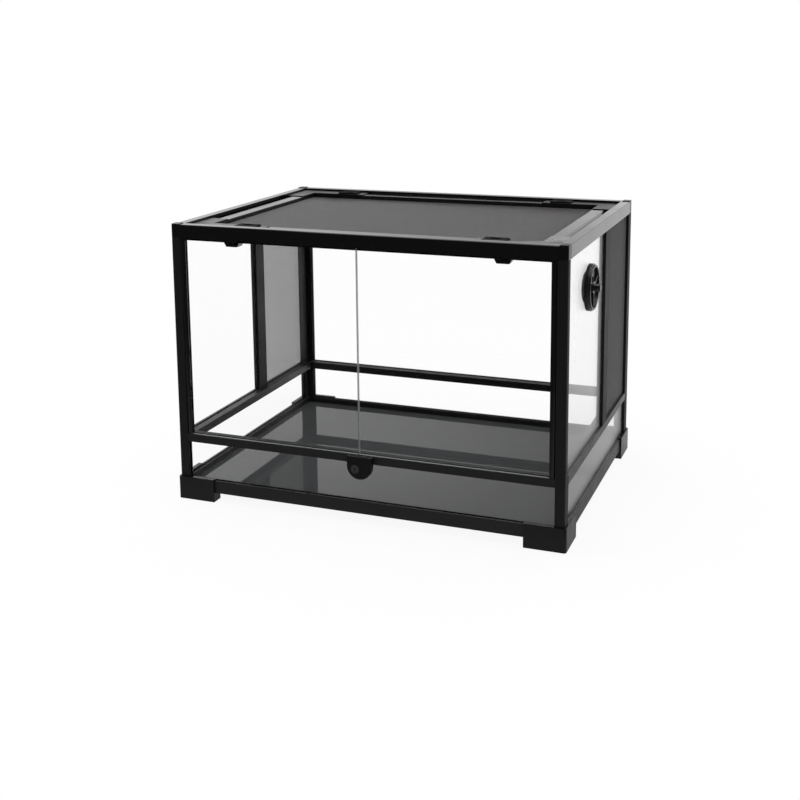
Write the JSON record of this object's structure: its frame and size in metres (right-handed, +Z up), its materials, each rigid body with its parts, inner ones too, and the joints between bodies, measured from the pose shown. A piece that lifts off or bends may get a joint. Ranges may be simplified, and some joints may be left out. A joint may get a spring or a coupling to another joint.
{
  "type": "reptile terrarium",
  "caption": "Glass terrarium in a black frame with hinged front doors and lock, lift-off screen lid with sliding latches, screened side vents and a cable port.",
  "frame": {"origin": "centre of the whole part's bounding box in plan, on the ground under the feet", "axes": "+Z up, front doors at -Y, cable port at +X"},
  "size_m": [0.6266, 0.4684, 0.434],
  "materials": {
    "frame_plastic": "satin black",
    "corner_plastic": "fine grained black",
    "pane": "clear polished",
    "door_pane": "clear polished, ground edges",
    "floor_plate": "glossy dark grey",
    "vent_screen": "black coated woven wire",
    "lid_screen": "black coated woven wire",
    "lid_bar_plastic": "satin black",
    "lid_corner_plastic": "fine grained black",
    "latch_plastic": "satin black",
    "lock_plastic": "satin black",
    "lock_metal": "black satin lacquer",
    "port_plastic": "satin black"
  },
  "bodies": {
    "frame": {"bottom_rail_front": "frame_plastic", "bottom_rail_rear": "frame_plastic", "bottom_rail_left": "frame_plastic", "bottom_rail_right": "frame_plastic", "foot_front_left": "corner_plastic", "foot_front_right": "corner_plastic", "foot_rear_left": "corner_plastic", "foot_rear_right": "corner_plastic", "floor_panel": "floor_plate", "post_front_left": "frame_plastic", "post_front_right": "frame_plastic", "post_rear_left": "frame_plastic", "post_rear_right": "frame_plastic", "mid_rail_front": "frame_plastic", "mid_rail_rear": "frame_plastic", "mid_rail_left": "frame_plastic", "mid_rail_right": "frame_plastic", "top_rail_front": "frame_plastic", "top_rail_rear": "frame_plastic", "top_rail_left": "frame_plastic", "top_rail_right": "frame_plastic", "corner_cap_front_left": "corner_plastic", "corner_cap_front_right": "corner_plastic", "corner_cap_rear_left": "corner_plastic", "corner_cap_rear_right": "corner_plastic", "mullion_left": "frame_plastic", "mullion_right": "frame_plastic", "rear_upper_glass": "pane", "rear_lower_glass": "pane", "left_upper_glass": "pane", "right_upper_glass": "pane", "left_lower_glass": "pane", "right_lower_glass": "pane", "front_lower_glass": "pane", "vent_mesh_left": "vent_screen", "vent_mesh_right": "vent_screen", "lock_housing": "lock_plastic", "port_flange": "port_plastic", "port_nut": "port_plastic"},
    "door_left": {"door_glass_left": "door_pane", "door_hinge_left": "frame_plastic"},
    "door_right": {"door_glass_right": "door_pane", "door_hinge_right": "frame_plastic"},
    "lock_cylinder": {"lock_cylinder": "lock_metal"},
    "lock_bolt": {"lock_bolt": "lock_metal"},
    "lid": {"lid_bar_front": "lid_bar_plastic", "lid_bar_rear": "lid_bar_plastic", "lid_bar_left": "lid_bar_plastic", "lid_bar_right": "lid_bar_plastic", "lid_corner_front_left": "lid_corner_plastic", "lid_corner_front_right": "lid_corner_plastic", "lid_corner_rear_left": "lid_corner_plastic", "lid_corner_rear_right": "lid_corner_plastic", "lid_mesh": "lid_screen"},
    "latch_front_left": {"lid_latch_front_left": "latch_plastic"},
    "latch_front_right": {"lid_latch_front_right": "latch_plastic"},
    "latch_rear_left": {"lid_latch_rear_left": "latch_plastic"},
    "latch_rear_right": {"lid_latch_rear_right": "latch_plastic"},
    "port_shutter": {"port_shutter": "port_plastic"}
  },
  "joints": [
    {"name": "door_left_hinge", "type": "hinge", "parent": "frame", "child": "door_left", "pos_m": [-0.29145, -0.22235, 0.105], "axis": [0, 0, -1], "range_deg": [0, 95]},
    {"name": "door_right_hinge", "type": "hinge", "parent": "frame", "child": "door_right", "pos_m": [0.28095, -0.22235, 0.105], "axis": [0, 0, 1], "range_deg": [0, 95]},
    {"name": "lock_turn", "type": "hinge", "parent": "frame", "child": "lock_cylinder", "pos_m": [-0.01185, -0.23135, 0.0859], "axis": [0, -1, 0], "range_deg": [0, 90]},
    {"name": "bolt_slide", "type": "slide", "parent": "frame", "child": "lock_bolt", "axis": [0, 0, 1], "range_m": [0, 0.006]},
    {"name": "lid_lift", "type": "slide", "parent": "frame", "child": "lid", "axis": [0, 0, 1], "range_m": [0, 0.15]},
    {"name": "latch_front_left_slide", "type": "slide", "parent": "lid", "child": "latch_front_left", "axis": [-1, 0, 0], "range_m": [0, 0.01]},
    {"name": "latch_front_right_slide", "type": "slide", "parent": "lid", "child": "latch_front_right", "axis": [1, 0, 0], "range_m": [0, 0.01]},
    {"name": "latch_rear_left_slide", "type": "slide", "parent": "lid", "child": "latch_rear_left", "axis": [-1, 0, 0], "range_m": [0, 0.01]},
    {"name": "latch_rear_right_slide", "type": "slide", "parent": "lid", "child": "latch_rear_right", "axis": [1, 0, 0], "range_m": [0, 0.01]},
    {"name": "port_turn", "type": "hinge", "parent": "frame", "child": "port_shutter", "pos_m": [0.29975, -0.07635, 0.347], "axis": [1, 0, 0], "range_deg": [0, 60]}
  ],
  "couplings": [
    {"joint": "lock_turn", "follows": "bolt_slide", "rad_per_m": 261.8}
  ]
}
